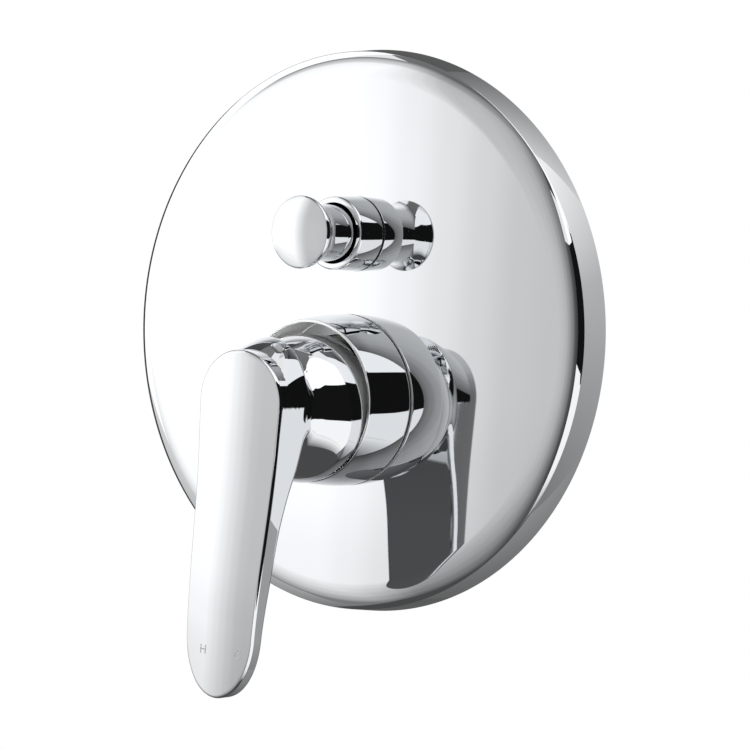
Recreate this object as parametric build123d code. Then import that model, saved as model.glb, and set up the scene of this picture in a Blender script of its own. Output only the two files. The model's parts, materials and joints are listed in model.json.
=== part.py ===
from build123d import *
import os
from math import asin, atan, cos, degrees, hypot, radians, sin, sqrt, tan

# Concealed bath shower mixer. Millimetres, +Z up, the front faces -Y, the wall is the plane y = 0
# and the origin is the centre of the wall plate on the wall.

# Wall plate, pressed from sheet
plate_d = 170.0
plate_draft = 1.0
plate_depth = 12.5
plate_crown_drop = 2.7
plate_crown_width = 8.0
plate_sheet = 1.0
lever_drop = 20.8
axis_spacing = 50.0

# Foam ring between the plate and the wall
foam_inset = 13.5
foam_width = 8.0

# Bell collar round the lever's ball hub
collar_foot_d = 51.8
hub_collar_gap = 1.0
collar_height = 17.9
collar_wall = 0.95
collar_bulge = 0.2
collar_lip = 0.3
collar_base = 1.5
collar_tail_wall = 1.3
collar_tail_length = 9.5

# Rubber rings under both collars
ring_thickness = 0.5
ring_inset = 0.5

# Ceramic cartridge
cartridge_d = 35.0
housing_wall = 1.8
housing_shoulder = 1.55
housing_neck_d = 28.4
neck_wall = 2.2
pivot_out = 26.0
spindle_arm = 16.0
lift_range = 20.0
ball_d = 5.0
ball_play = 0.1
ball_floor_gap = 0.2
carrier_floor = 1.0
carrier_d = 22.4
carrier_plate = 2.7
carrier_hub_d = 11.0
carrier_hub_length = 4.2
moving_disc_d = 22.0
moving_disc_thickness = 3.0
mixing_pocket_depth = 1.5
fixed_disc_d = 29.0
fixed_disc_thickness = 3.5
base_spigot = 1.6
base_flange = 5.0
base_seat_gap = 0.2
rotor_flange = 1.6
rotor_flange_d = 30.4
rotor_carrier_gap = 0.2
rotor_top_wall = 4.0
neck_top_wall = 2.0
slot_tilt_room = 2.0
hub_slide_room = 0.3
pin_d = 3.0
pin_inset = 0.5
blade_width = 6.0
blade_depth = 8.0
blade_front = 7.5
blade_rear = 4.0
square_size = 8.0
spindle_reach = 24.0
ball_stalk_d = 3.4
floor_port_d = 6.4
floor_port_x = 8.0
floor_port_z = 4.5
mixed_port_z = 7.5
port_seal_wall = 1.0
port_seal_depth = 1.5
base_cord_d = 1.3
groove_room = 0.3

# Ring nut over the cartridge
nut_d = 38.6
nut_web = 2.0
nut_skirt = 6.4
nut_notch_count = 6
nut_notch_width = 4.0
nut_notch_depth = 1.2

# Brass valve body
barrel_d = 44.0
barrel_step = 2.0
manifold_back_wall = 4.0
port_depth = 28.0
port_half_span = 42.0
outlet_reach = 66.0
port_bore_d = 18.64
port_thread_length = 16.0
port_flats = 27.0
port_flats_length = 15.0
neck_boss_d = 24.0
inlet_d = 12.0
inlet_wall = 7.0
mixed_passage_d = 9.0
passage_end_room = 1.0
outlet_bore_d = 12.0
outlet_bore_depth = 9.0
cross_bore_d = 7.6
cross_bore_back = 5.5
duct_end_room = 0.6
diverter_port_d = 8.4
diverter_port_pitch = 12.0
duct_wall = 3.4

# Diverter
diverter_barrel_d = 27.0
diverter_bore_d = 16.0
diverter_mouth_step = 4.5
bonnet_seat = 3.5
bonnet_flange = 3.0
bonnet_spigot = 4.0
land_width = 3.6
land_gap = 0.4
spool_core_d = 7.2
bore_end_room = 2.2
bore_end_wall = 4.0
stem_d = 6.0
stem_tip_d = 4.0
stem_thread_d = 5.0
stem_thread_length = 10.0
seal_cord_d = 1.3
stem_cord_d = 1.0
clip_d = 8.0
clip_thickness = 0.7

# Diverter collar and pull knob
small_foot_d = 22.7
small_front_d = 21.94
small_height = 10.4
small_lip = 0.8
small_tail_d = 20.4
small_tail_length = 10.5
knob_out = 26.2
knob_d = 21.6
knob_crown = 2.0
knob_edge = 0.5
knob_stem_d = 17.0
knob_flare_length = 6.5
knob_collar_gap = 0.6
knob_tail_reserve = 1.9

# Lever handle: ball hub and paddle in one casting
hub_d = 44.5
hub_drop = 2.3
hub_out = 33.5
hub_wall = 2.25
skirt_taper = 0.65
rim_bottom_out = 33.1
rim_top_out = 25.2
paddle_top_d = 30.7
paddle_end_width = 25.2
paddle_end_length = 18.7
paddle_length = 101.8
paddle_out = 61.1
paddle_sweep = 2.5
sweep_start = 14.2
sweep_length = 53.0
paddle_crown_r = 90.0
paddle_edge_r = 1.0
paddle_root_rise = 18.5
paddle_root_thickness = 13.7
paddle_shoulder_rise = 6.5
paddle_shoulder_thickness = 11.2
paddle_bend_drop = 1.5
paddle_bend_thickness = 8.8
paddle_waist_drop = 9.5
paddle_waist_thickness = 7.2
paddle_tip_thickness = 5.0
bar_margin = 2.0
bar_sections = 6
neck_rise_start_out = 57.0
neck_rise_length = 15.0
neck_inset = 0.3
neck_top_inset = 0.03
neck_arches = (1.1, 0.75, 0.45, 0.2, 0.0, -0.4)
socket_boss_d = 15.0
socket_boss_rear = 10.0
grub_d = 5.0
grub_length = 8.0
grub_out = 17.0
cap_d = 6.0
cap_thickness = 2.0
cap_recess = 0.5

# Clearances
running_gap = 0.05
thread_gap = 0.1
assembly_gap = 0.2
cut_margin = 1.0

# Places that follow from the sizes above
plate_r = plate_d / 2
edge_r = plate_r - plate_draft
face_y = -plate_depth
inner_face_y = face_y + plate_sheet
edge_y = face_y + plate_crown_drop
lever_z = -lever_drop
diverter_z = lever_z + axis_spacing
rest_tilt = lift_range / 2

pivot_y = -pivot_out
slide_rest = spindle_arm * sin(radians(rest_tilt))
pocket_floor_y = pivot_y + spindle_arm + ball_d / 2 + ball_floor_gap
carrier_rear_y = pocket_floor_y + carrier_floor
carrier_front_y = carrier_rear_y - carrier_plate
carrier_hub_y = carrier_front_y - carrier_hub_length
moving_rear_y = carrier_rear_y + moving_disc_thickness
fixed_rear_y = moving_rear_y + fixed_disc_thickness
base_front_y = fixed_rear_y + base_spigot
base_rear_y = base_front_y + base_flange
floor_y = base_rear_y + base_seat_gap
rotor_rear_y = carrier_front_y - rotor_carrier_gap
rotor_shoulder_y = rotor_rear_y - rotor_flange
cavity_top_y = rotor_shoulder_y - running_gap
shoulder_y = cavity_top_y - housing_shoulder
neck_top_y = pivot_y - neck_top_wall
rotor_top_y = pivot_y - rotor_top_wall
nut_front_y = shoulder_y - nut_web
nut_rear_y = shoulder_y + nut_skirt
neck_bore_r = housing_neck_d / 2 - neck_wall
rotor_r = neck_bore_r - running_gap
housing_r = cartridge_d / 2
cavity_r = housing_r - housing_wall
cartridge_bore_r = housing_r + running_gap

barrel_r = barrel_d / 2
barrel_mouth_y = face_y + barrel_step
tail_inner_r = barrel_r + thread_gap
tail_outer_r = tail_inner_r + collar_tail_wall
collar_foot_y = face_y - ring_thickness
collar_front_y = face_y - collar_height
collar_tail_y = face_y + collar_tail_length

mixed_y = port_depth
shower_y = port_depth - diverter_port_pitch
bath_y = port_depth + diverter_port_pitch
diverter_travel = diverter_port_pitch
front_land_y = mixed_y - diverter_port_pitch / 2
rear_land_y = bath_y + diverter_port_pitch / 2
bore_r = diverter_bore_d / 2
bore_end_y = rear_land_y + land_width / 2 + bore_end_room
diverter_rear_y = bore_end_y + bore_end_wall
diverter_mouth_y = face_y + diverter_mouth_step
small_tail_r = small_tail_d / 2
mouth_r = small_tail_r + running_gap
bonnet_front_y = bonnet_seat - bonnet_flange
manifold_rear_y = bath_y + diverter_port_d / 2 + manifold_back_wall

hub_r = hub_d / 2
collar_front_inner_r = hub_r + hub_collar_gap
hub_y = -hub_out
hub_z = lever_z - hub_drop
paddle_top_r = paddle_top_d / 2
paddle_tip_z = lever_z + paddle_top_r - paddle_length

tilt_axis = Axis((0, pivot_y, lever_z), (1, 0, 0))
base_align = (Align.CENTER, Align.CENTER, Align.MIN)


# Round bars along each axis
def bar_y(radius, start, end, z, x=0.0):
    place = Plane(origin=(x, start, z), x_dir=(1, 0, 0), z_dir=(0, 1, 0))
    return place * Cylinder(radius, end - start, align=base_align)


def bar_x(radius, start, end, y, z):
    place = Plane(origin=(start, y, z), x_dir=(0, 1, 0), z_dir=(1, 0, 0))
    return place * Cylinder(radius, end - start, align=base_align)


def bar_z(radius, start, end, y, x=0.0):
    place = Plane(origin=(x, y, start), x_dir=(1, 0, 0), z_dir=(0, 0, 1))
    return place * Cylinder(radius, end - start, align=base_align)


# Ring along Y
def tube_y(outer, inner, start, end, z, x=0.0):
    return bar_y(outer, start, end, z, x) - bar_y(inner, start, end, z, x)


# Cord ring along Y, by its outer radius
def o_ring(outer, cord, y, z):
    place = Plane(origin=(0, y, z), x_dir=(1, 0, 0), z_dir=(0, 1, 0))
    return place * Torus(outer - cord / 2, cord / 2)


# Turned piece: its half section in (radius, y) about the axis at height z
def turned(edges, z):
    section = Pos(0, 0, z) * make_face(edges)
    return revolve(section, Axis((0, 0, z), (0, 1, 0)))


def block(size_x, y_start, y_end, size_z, z):
    middle = (y_start + y_end) / 2
    return Pos(0, middle, z) * Box(size_x, y_end - y_start, size_z)


def escutcheon_plate():
    flat_r = edge_r - plate_crown_width
    crown = TangentArc((flat_r, face_y), (edge_r, edge_y), tangent=(1, 0))
    inner_r = edge_r - plate_sheet
    front = Line((0, face_y), (flat_r, face_y))
    inner_edge = (inner_r, edge_y + plate_sheet)
    band = Polyline((edge_r, edge_y), (plate_r, 0), (plate_r - plate_sheet, 0), inner_edge)
    inner_crown = TangentArc((flat_r, inner_face_y), inner_edge, tangent=(1, 0))
    back = Polyline((flat_r, inner_face_y), (0, inner_face_y), (0, face_y))
    sheet = turned([front, crown, band, inner_crown, back], 0)
    lever_hole = bar_y(tail_outer_r + assembly_gap, face_y - cut_margin, 0, lever_z)
    diverter_hole = bar_y(small_tail_r + assembly_gap, face_y - cut_margin, 0, diverter_z)
    return sheet - lever_hole - diverter_hole


def wall_gasket():
    outer = plate_r - foam_inset
    return tube_y(outer, outer - foam_width, inner_face_y, 0, 0)


def lever_collar():
    foot_r = collar_foot_d / 2
    front_r = collar_front_inner_r + collar_wall
    middle = ((foot_r + front_r) / 2 + collar_bulge, (collar_foot_y + collar_front_y) / 2)
    lip_y = collar_front_y + collar_lip
    bell = ThreePointArc((foot_r, collar_foot_y), middle, (front_r, lip_y))
    inside_y = collar_foot_y - collar_base
    flange_r = nut_d / 2 + 2 * assembly_gap
    inside = Polyline(
        (front_r, lip_y),
        (front_r - collar_lip, collar_front_y),
        (collar_front_inner_r + collar_lip, collar_front_y),
        (collar_front_inner_r, lip_y),
        (foot_r - collar_wall - collar_lip, inside_y),
        (flange_r, inside_y),
        (flange_r, barrel_mouth_y),
        (tail_inner_r, barrel_mouth_y),
        (tail_inner_r, collar_tail_y),
        (tail_outer_r, collar_tail_y),
        (tail_outer_r, collar_foot_y),
        (foot_r, collar_foot_y),
    )
    return turned([bell, inside], lever_z)


def lever_opening_seal():
    outer = collar_foot_d / 2 - ring_inset
    return tube_y(outer, tail_outer_r + assembly_gap, collar_foot_y, face_y, lever_z)


def cartridge_nut():
    inner = housing_neck_d / 2 + assembly_gap
    ring = bar_y(nut_d / 2, nut_front_y, nut_rear_y, lever_z)
    ring -= bar_y(housing_r + assembly_gap, shoulder_y, nut_rear_y, lever_z)
    ring -= bar_y(inner, nut_front_y, shoulder_y, lever_z)
    notch = Pos(nut_d / 2, nut_front_y, lever_z) * Box(2 * nut_notch_depth, nut_web, nut_notch_width)
    centre = Axis((0, 0, lever_z), (0, 1, 0))
    for index in range(nut_notch_count):
        ring -= notch.rotate(centre, index * 360 / nut_notch_count)
    return ring


# Places of the hot, cold and mixed ports in the cartridge floor, as (x, z)
def floor_ports():
    low_z = lever_z - floor_port_z
    return [(-floor_port_x, low_z), (floor_port_x, low_z), (0, lever_z + mixed_port_z)]


def cartridge_housing():
    cup = bar_y(housing_r, shoulder_y, base_front_y, lever_z)
    cup += bar_y(housing_neck_d / 2, neck_top_y, shoulder_y, lever_z)
    cup -= bar_y(cavity_r, cavity_top_y, base_front_y, lever_z)
    return cup - bar_y(neck_bore_r, neck_top_y, cavity_top_y, lever_z)


def cartridge_base():
    base = bar_y(cavity_r - running_gap, fixed_rear_y, base_front_y, lever_z)
    base += bar_y(housing_r, base_front_y, base_rear_y, lever_z)
    groove_y = (base_front_y + base_rear_y - port_seal_depth) / 2
    groove_half = base_cord_d / 2 + groove_room / 2
    groove_r = housing_r - base_cord_d
    outer_r = housing_r + cut_margin
    base -= tube_y(outer_r, groove_r, groove_y - groove_half, groove_y + groove_half, lever_z)
    for x, z in floor_ports():
        base -= bar_y(floor_port_d / 2, fixed_rear_y, base_rear_y, z, x)
        base -= bar_y(floor_port_d / 2 + port_seal_wall, base_rear_y - port_seal_depth, base_rear_y, z, x)
    return base


def base_o_ring():
    groove_y = (base_front_y + base_rear_y - port_seal_depth) / 2
    return o_ring(housing_r, base_cord_d, groove_y, lever_z)


def base_port_seals():
    start = base_rear_y - port_seal_depth
    outer = floor_port_d / 2 + port_seal_wall
    seals = [tube_y(outer, floor_port_d / 2, start, floor_y, z, x) for x, z in floor_ports()]
    return Compound(children=seals)


def fixed_disc():
    disc = bar_y(fixed_disc_d / 2, moving_rear_y, fixed_rear_y, lever_z)
    for x, z in floor_ports():
        disc -= bar_y(floor_port_d / 2, moving_rear_y, fixed_rear_y, z, x)
    return disc


def moving_disc():
    centre_z = lever_z + slide_rest
    disc = bar_y(moving_disc_d / 2, carrier_rear_y, moving_rear_y, centre_z)
    pocket_y = moving_rear_y - mixing_pocket_depth
    pocket_r = floor_port_d / 2
    pocket = bar_y(pocket_r, pocket_y, moving_rear_y, centre_z - pocket_r)
    pocket += bar_y(pocket_r, pocket_y, moving_rear_y, centre_z + pocket_r)
    pocket += block(floor_port_d, pocket_y, moving_rear_y, floor_port_d, centre_z)
    return disc - pocket


def disc_carrier():
    centre_z = lever_z + slide_rest
    carrier = bar_y(carrier_d / 2, carrier_front_y, carrier_rear_y, centre_z)
    carrier += bar_y(carrier_hub_d / 2, carrier_hub_y, carrier_front_y, centre_z)
    return carrier - bar_y(ball_d / 2 + ball_play, carrier_hub_y, pocket_floor_y, centre_z)


def rotor():
    body = bar_y(rotor_r, rotor_top_y, rotor_shoulder_y, lever_z)
    body += bar_y(rotor_flange_d / 2, rotor_shoulder_y, rotor_rear_y, lever_z)
    hub_room_y = carrier_hub_y - rotor_carrier_gap
    hub_room = carrier_hub_d / 2 + hub_slide_room
    body -= block(2 * hub_room, hub_room_y, rotor_rear_y, 2 * (hub_room + slide_rest), lever_z)
    slot_width = blade_width + 2 * running_gap
    body -= block(slot_width, rotor_top_y, hub_room_y, blade_depth + 2 * slot_tilt_room, lever_z)
    return body - bar_x(pin_d / 2, -rotor_r, rotor_r, pivot_y, lever_z)


def pivot_pin():
    half = rotor_r - pin_inset
    return bar_x(pin_d / 2, -half, half, pivot_y, lever_z)


def spindle():
    blade = block(blade_width, pivot_y - blade_front, pivot_y + blade_rear, blade_depth, lever_z)
    tip_y = pivot_y - spindle_reach
    square = block(square_size, tip_y, pivot_y - blade_front, square_size, lever_z)
    stalk = bar_y(ball_stalk_d / 2, pivot_y + blade_rear, pivot_y + spindle_arm, lever_z)
    ball = Pos(0, pivot_y + spindle_arm, lever_z) * Sphere(ball_d / 2)
    straight = blade + square + stalk + ball
    straight -= bar_x(pin_d / 2 + running_gap, -blade_width, blade_width, pivot_y, lever_z)
    return straight.rotate(tilt_axis, rest_tilt)


# Hub shell by its wall offset: a ball in front, a slightly tapered skirt behind
def hub_form(inset, skirt_end_y):
    radius = hub_r - inset
    skirt_r = radius - skirt_taper
    diagonal = radius * cos(radians(45))
    nose = ThreePointArc((0, hub_y - radius), (diagonal, hub_y - diagonal), (radius, hub_y))
    skirt = Polyline((radius, hub_y), (skirt_r, skirt_end_y), (0, skirt_end_y), (0, hub_y - radius))
    return turned([nose, skirt], hub_z)


# Everything behind the hub's tilted rim
def behind_rim():
    rise = hub_d
    back = rim_bottom_out - rim_top_out
    middle = (0, -(rim_bottom_out + rim_top_out) / 2, hub_z)
    rim = Plane(origin=middle, x_dir=(1, 0, 0), z_dir=(0, rise, -back))
    return rim * Box(2 * hub_d, 2 * hub_d, hub_d, align=base_align)


# Slope at which one straight side touches both the round top and the elliptical end
def paddle_side_slope(end_r, end_z):
    slope = 0.0
    for _ in range(5):
        reach = hypot(end_r * cos(slope), paddle_end_length * sin(slope))
        slope = asin((paddle_top_r - reach) / (lever_z - end_z))
    return slope


# Paddle outline seen from the front: round top, straight tapered sides, elliptical end
def paddle_prism():
    end_r = paddle_end_width / 2
    end_z = paddle_tip_z + paddle_end_length
    slope = paddle_side_slope(end_r, end_z)
    top_turn = degrees(slope)
    end_turn = degrees(atan(paddle_end_length / end_r * tan(slope)))
    view = Plane(origin=(0, -2 * paddle_out, 0), x_dir=(1, 0, 0), z_dir=(0, -1, 0))
    top = CenterArc((0, lever_z), paddle_top_r, -top_turn, 180 + 2 * top_turn)
    end = EllipticalCenterArc((0, end_z), end_r, paddle_end_length, 180 + end_turn, arc_size=180 - 2 * end_turn)
    sides = [Line(top @ 1, end @ 0), Line(end @ 1, top @ 0)]
    outline = make_face([top, sides[0], end, sides[1]])
    return extrude(view * outline, amount=-2 * paddle_out)


# How far the paddle's edge stands off the wall at a given drop below the lever axis
def paddle_edge_out(drop):
    share = min(max((drop - sweep_start) / sweep_length, 0), 1)
    return paddle_out + paddle_sweep * share * share * (3 - 2 * share)


# Crowned bar behind the paddle's face, wider than the paddle
def paddle_bar():
    tip_drop = lever_z - paddle_tip_z
    half = paddle_top_r + bar_margin
    first = -half
    step = (tip_drop + bar_margin - first) / (bar_sections - 1)
    sections = []
    for index in range(bar_sections):
        drop = first + index * step
        width_share = min(max(drop / tip_drop, 0), 1)
        edge_half = paddle_top_r + (paddle_end_width / 2 - paddle_top_r) * width_share
        middle_y = -paddle_edge_out(drop) - edge_half**2 / (2 * paddle_crown_r)
        side_y = middle_y + half**2 / (2 * paddle_crown_r)
        back_y = -paddle_out + paddle_root_thickness + bar_margin
        crown = ThreePointArc((-half, side_y), (0, middle_y), (half, side_y))
        rest = Polyline((half, side_y), (half, back_y), (-half, back_y), (-half, side_y))
        sections.append(Pos(0, 0, lever_z - drop) * make_face([crown, rest]))
    return loft(sections)


# Space behind the paddle, by its edge thickness from the root at the hub to the tip
def behind_paddle():
    tip_drop = lever_z - paddle_tip_z
    end_drop = tip_drop - paddle_end_length
    root_drop = hub_r + hub_drop
    waist_drop = root_drop + paddle_waist_drop
    stations = [
        (root_drop - paddle_root_rise, paddle_root_thickness),
        (root_drop - paddle_shoulder_rise, paddle_shoulder_thickness),
        (root_drop + paddle_bend_drop, paddle_bend_thickness),
        (waist_drop, paddle_waist_thickness),
        ((waist_drop + end_drop) / 2, (paddle_waist_thickness + paddle_tip_thickness) / 2),
        (end_drop, paddle_tip_thickness),
        (tip_drop + bar_margin, paddle_tip_thickness),
    ]
    points = [(thickness - paddle_edge_out(drop), lever_z - drop) for drop, thickness in stations]
    back = Spline(*points)
    sides = Polyline(points[-1], (0, points[-1][1]), (0, points[0][1]), points[0])
    width = 2 * (paddle_top_r + 2 * bar_margin)
    return extrude(Plane.YZ * make_face([back, sides]), amount=width / 2, both=True)


# Upper neck: arches that rise from the paddle's round end to the top of the hub
def neck():
    hub_top = hub_z + hub_r
    rise = hub_top - (lever_z + paddle_top_r)
    flat_y = -neck_rise_start_out + neck_rise_length
    half = paddle_top_r - neck_inset
    arches = []
    for step in neck_arches:
        y = flat_y - step * neck_rise_length
        top = hub_top - rise * max(step, 0) ** 2 - neck_top_inset
        place = Plane(origin=(0, y, 0), x_dir=(1, 0, 0), z_dir=(0, -1, 0))
        arch = EllipticalCenterArc((0, lever_z), half, top - lever_z, 0, arc_size=180)
        legs = Polyline((-half, lever_z), (-half, hub_z), (half, hub_z), (half, lever_z))
        arches.append(place * make_face([arch, legs]))
    return loft(arches)


def grub_axis_bar(radius, start, end):
    return bar_z(radius, lever_z - end, lever_z - start, pivot_y - grub_out).rotate(tilt_axis, rest_tilt)


# Distance from the spindle's axis to the inner face of the screw cap, along the grub screw
def cap_start():
    along = hub_out - pivot_out
    forward = along * cos(radians(rest_tilt)) + hub_drop * sin(radians(rest_tilt))
    down = hub_drop * cos(radians(rest_tilt)) - along * sin(radians(rest_tilt))
    surface = down + sqrt(hub_r**2 - (grub_out - forward) ** 2)
    return surface - cap_recess - cap_thickness


def lever_handle():
    paddle = (paddle_bar() & paddle_prism()) - behind_paddle()
    crowned_face = paddle.faces().sort_by(Axis.Y)[0]
    paddle = fillet(crowned_face.edges(), paddle_edge_r)
    skirt_end_y = -rim_top_out + cut_margin
    handle = hub_form(0, skirt_end_y) + paddle + neck()
    boss = bar_y(socket_boss_d / 2, hub_y - hub_r, pivot_y - socket_boss_rear, lever_z)
    boss = boss.rotate(tilt_axis, rest_tilt)
    hollow = hub_form(hub_wall, skirt_end_y + cut_margin) - boss
    side = square_size + 2 * running_gap
    socket_y = pivot_y - spindle_reach - assembly_gap
    socket = block(side, socket_y, pivot_y, side, lever_z).rotate(tilt_axis, rest_tilt)
    handle = handle - hollow - socket - behind_rim()
    handle -= grub_axis_bar(grub_d / 2 + running_gap, 0, hub_d)
    return handle - grub_axis_bar(cap_d / 2 + running_gap, cap_start(), hub_d)


def grub_screw():
    start = square_size / 2 + running_gap
    return grub_axis_bar(grub_d / 2, start, start + grub_length)


def screw_cap():
    start = cap_start()
    return grub_axis_bar(cap_d / 2, start, start + cap_thickness)


# Octagonal spanner end of a port, along the given direction from the port's mouth inwards
def port_end(mouth, direction, up):
    place = Plane(origin=mouth, x_dir=up, z_dir=direction)
    octagon = RegularPolygon(port_flats / 2, 8, major_radius=False)
    return extrude(place * octagon, amount=port_flats_length)


def valve_body():
    span = port_half_span
    reach = outlet_reach
    body = bar_y(barrel_r, barrel_mouth_y, manifold_rear_y, lever_z)
    body += bar_y(diverter_barrel_d / 2, diverter_mouth_y, diverter_rear_y, diverter_z)
    body += bar_x(neck_boss_d / 2, -span + port_flats_length, span - port_flats_length, mixed_y, lever_z)
    body += bar_z(neck_boss_d / 2, -reach + port_flats_length, reach - port_flats_length, mixed_y)
    body += bar_z(diverter_port_d / 2 + duct_wall, -reach + port_flats_length, diverter_z, bath_y)
    body += bar_z(diverter_port_d / 2 + duct_wall, diverter_z, reach - port_flats_length, shower_y)
    body += port_end((-span, mixed_y, lever_z), (1, 0, 0), (0, 0, 1))
    body += port_end((span, mixed_y, lever_z), (-1, 0, 0), (0, 0, 1))
    body += port_end((0, mixed_y, reach), (0, 0, -1), (1, 0, 0))
    body += port_end((0, mixed_y, -reach), (0, 0, 1), (1, 0, 0))

    body -= bar_y(nut_d / 2 + thread_gap, barrel_mouth_y, nut_rear_y + cut_margin, lever_z)
    body -= bar_y(cartridge_bore_r, barrel_mouth_y, floor_y, lever_z)
    body -= bar_y(mouth_r, diverter_mouth_y, bonnet_seat, diverter_z)
    body -= bar_y(bore_r, diverter_mouth_y, bore_end_y, diverter_z)
    for x, z in floor_ports():
        body -= bar_y(floor_port_d / 2, floor_y, mixed_y, z, x)

    port_r = port_bore_d / 2
    depth = port_thread_length
    inlet_r = inlet_d / 2
    body -= bar_x(port_r, -span, -span + depth, mixed_y, lever_z)
    body -= bar_x(port_r, span - depth, span, mixed_y, lever_z)
    body -= bar_x(inlet_r, -span + depth, -inlet_wall, mixed_y, lever_z)
    body -= bar_x(inlet_r, inlet_wall, span - depth, mixed_y, lever_z)
    body -= bar_z(port_r, reach - depth, reach, mixed_y)
    body -= bar_z(port_r, -reach, -reach + depth, mixed_y)

    duct_r = diverter_port_d / 2
    cross_r = cross_bore_d / 2
    thread_end = reach - depth
    bore_end = thread_end - outlet_bore_depth
    cross_z = thread_end - cross_bore_back
    duct_end = cross_z + cross_r + duct_end_room
    passage_start = lever_z + mixed_port_z - floor_port_d / 2 - passage_end_room
    body -= bar_z(outlet_bore_d / 2, bore_end, thread_end, mixed_y)
    body -= bar_z(outlet_bore_d / 2, -thread_end, -bore_end, mixed_y)
    body -= bar_z(mixed_passage_d / 2, passage_start, diverter_z, mixed_y)
    body -= bar_z(duct_r, diverter_z, duct_end, shower_y)
    body -= bar_y(cross_r, shower_y, mixed_y, cross_z)
    body -= bar_z(duct_r, -duct_end, diverter_z, bath_y)
    return body - bar_y(cross_r, mixed_y, bath_y, -cross_z)


def diverter_bonnet():
    bonnet = bar_y(small_tail_r, bonnet_front_y, bonnet_seat, diverter_z)
    bonnet += bar_y(bore_r - thread_gap, bonnet_seat, bonnet_seat + bonnet_spigot, diverter_z)
    bonnet -= bar_y(stem_d / 2 + running_gap, bonnet_front_y, bonnet_seat + bonnet_spigot, diverter_z)
    half = (seal_cord_d + groove_room) / 2
    seal_y = bonnet_seat + bonnet_spigot / 2
    groove_r = bore_r - running_gap - seal_cord_d
    bonnet -= tube_y(bore_r + cut_margin, groove_r, seal_y - half, seal_y + half, diverter_z)
    inner_half = (stem_cord_d + groove_room) / 2
    inner_y = (bonnet_front_y + bonnet_seat) / 2
    inner_r = stem_d / 2 + running_gap + stem_cord_d
    return bonnet - bar_y(inner_r, inner_y - inner_half, inner_y + inner_half, diverter_z)


def bonnet_o_ring():
    return o_ring(bore_r - running_gap, seal_cord_d, bonnet_seat + bonnet_spigot / 2, diverter_z)


def stem_o_ring():
    outer = stem_d / 2 + running_gap + stem_cord_d
    return o_ring(outer, stem_cord_d, (bonnet_front_y + bonnet_seat) / 2, diverter_z)


def diverter_collar():
    foot_r = small_foot_d / 2
    front_r = small_front_d / 2
    front_y = face_y - small_height
    bore = knob_stem_d / 2 + knob_collar_gap
    tail_y = face_y + small_tail_length
    lip = ThreePointArc(
        (front_r, front_y + small_lip),
        (front_r - small_lip * (1 - cos(radians(45))), front_y + small_lip * (1 - sin(radians(45)))),
        (front_r - small_lip, front_y),
    )
    rest = Polyline(
        (front_r - small_lip, front_y),
        (bore, front_y),
        (bore, tail_y),
        (small_tail_r, tail_y),
        (small_tail_r, collar_foot_y),
        (foot_r, collar_foot_y),
        (front_r, front_y + small_lip),
    )
    return turned([lip, rest], diverter_z)


def diverter_opening_seal():
    outer = small_foot_d / 2 - ring_inset
    return tube_y(outer, small_tail_r + assembly_gap, collar_foot_y, face_y, diverter_z)


def knob_tail_end():
    return face_y - small_height + diverter_travel + knob_tail_reserve


def diverter_knob():
    rim_r = knob_d / 2
    rim_y = face_y - knob_out
    stem_r = knob_stem_d / 2
    flare_y = rim_y + knob_edge + knob_flare_length
    crown = ThreePointArc((-rim_r, rim_y), (0, rim_y - knob_crown), (rim_r, rim_y)).trim(0.5, 1)
    edge = Line((rim_r, rim_y), (rim_r, rim_y + knob_edge))
    flare = TangentArc((stem_r, flare_y), (rim_r, rim_y + knob_edge), tangent=(0, -1))
    tail_y = knob_tail_end()
    tail = Polyline((stem_r, flare_y), (stem_r, tail_y), (0, tail_y), (0, rim_y - knob_crown))
    knob = turned([crown, edge, flare, tail], diverter_z)
    hole_r = stem_thread_d / 2 + thread_gap
    return knob - bar_y(hole_r, tail_y - stem_thread_length - assembly_gap, tail_y, diverter_z)


def diverter_stem():
    tail_y = knob_tail_end()
    spool_front_y = front_land_y - land_width / 2
    clip_y = rear_land_y + land_width / 2
    stem = bar_y(stem_d / 2, tail_y, spool_front_y, diverter_z)
    stem += bar_y(stem_thread_d / 2, tail_y - stem_thread_length, tail_y, diverter_z)
    return stem + bar_y(stem_tip_d / 2, spool_front_y, clip_y + 2 * clip_thickness, diverter_z)


def diverter_spool():
    start = front_land_y - land_width / 2
    end = rear_land_y + land_width / 2
    land_r = bore_r - land_gap
    groove_r = bore_r - running_gap - seal_cord_d
    half = (seal_cord_d + groove_room) / 2
    spool = bar_y(spool_core_d / 2, start, end, diverter_z)
    for y in (front_land_y, rear_land_y):
        spool += bar_y(land_r, y - land_width / 2, y + land_width / 2, diverter_z)
        spool -= tube_y(bore_r, groove_r, y - half, y + half, diverter_z)
    return spool - bar_y(stem_tip_d / 2 + running_gap, start, end, diverter_z)


def spool_o_rings():
    outer = bore_r - running_gap
    return Compound(children=[o_ring(outer, seal_cord_d, y, diverter_z) for y in (front_land_y, rear_land_y)])


def spool_clip():
    start = rear_land_y + land_width / 2
    return tube_y(clip_d / 2, stem_tip_d / 2 + running_gap, start, start + clip_thickness, diverter_z)


pieces = [
    escutcheon_plate,
    wall_gasket,
    lever_collar,
    lever_opening_seal,
    cartridge_nut,
    cartridge_housing,
    cartridge_base,
    base_o_ring,
    base_port_seals,
    fixed_disc,
    moving_disc,
    disc_carrier,
    rotor,
    pivot_pin,
    spindle,
    lever_handle,
    grub_screw,
    screw_cap,
    valve_body,
    diverter_bonnet,
    bonnet_o_ring,
    stem_o_ring,
    diverter_collar,
    diverter_opening_seal,
    diverter_knob,
    diverter_stem,
    diverter_spool,
    spool_o_rings,
    spool_clip,
]

os.makedirs("parts", exist_ok=True)
for piece in pieces:
    export_step(piece(), f"parts/{piece.__name__}.step")
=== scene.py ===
import json
import math

import bmesh
import bpy
import numpy as np
from mathutils import Matrix, Vector

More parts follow.
